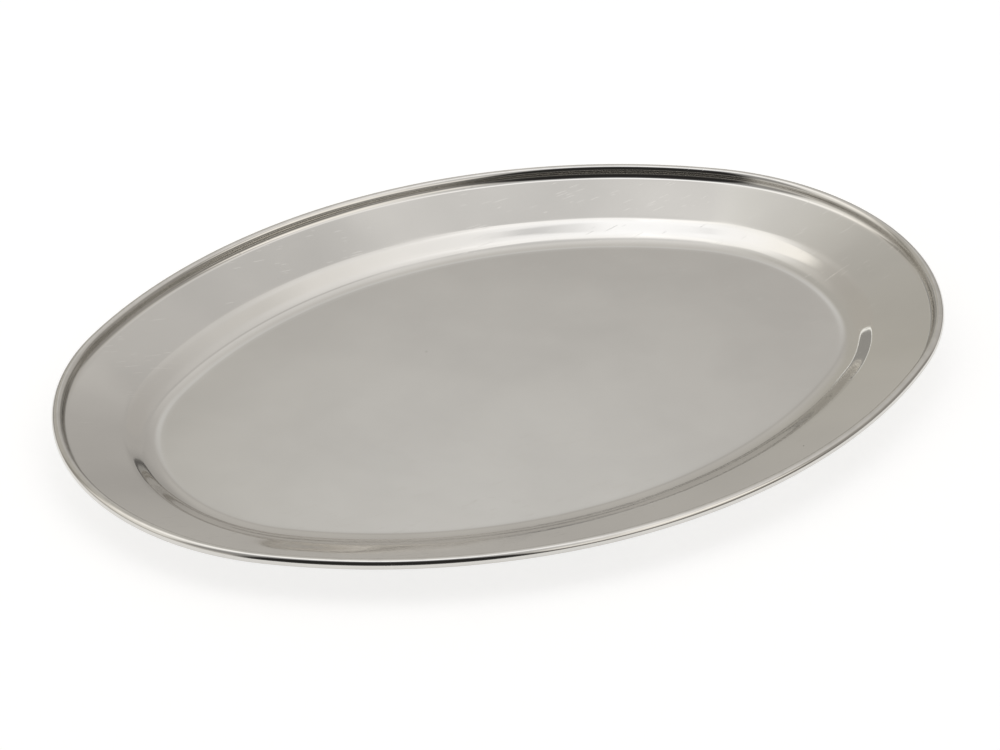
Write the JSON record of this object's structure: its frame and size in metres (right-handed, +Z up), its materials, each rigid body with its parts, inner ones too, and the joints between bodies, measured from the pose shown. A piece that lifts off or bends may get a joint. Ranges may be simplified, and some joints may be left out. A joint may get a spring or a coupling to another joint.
{
  "type": "oval serving tray",
  "caption": "Oval metal serving tray with a flat well, a short sloping wall, a broad rising rim and a rolled edge, for carrying and laying out food.",
  "frame": {"origin": "centre of the underside of the well, where the tray rests", "axes": "+X along the tray's length, +Y across it, +Z up out of the well"},
  "size_m": [0.45, 0.3198, 0.0215],
  "materials": {
    "satin_steel": "polished to a soft lustre, with fine handling scratches",
    "steel_wire": "drawn wire, dull"
  },
  "bodies": {
    "root": {"pressed_sheet": "satin_steel", "rim_wire": "steel_wire"}
  },
  "joints": []
}
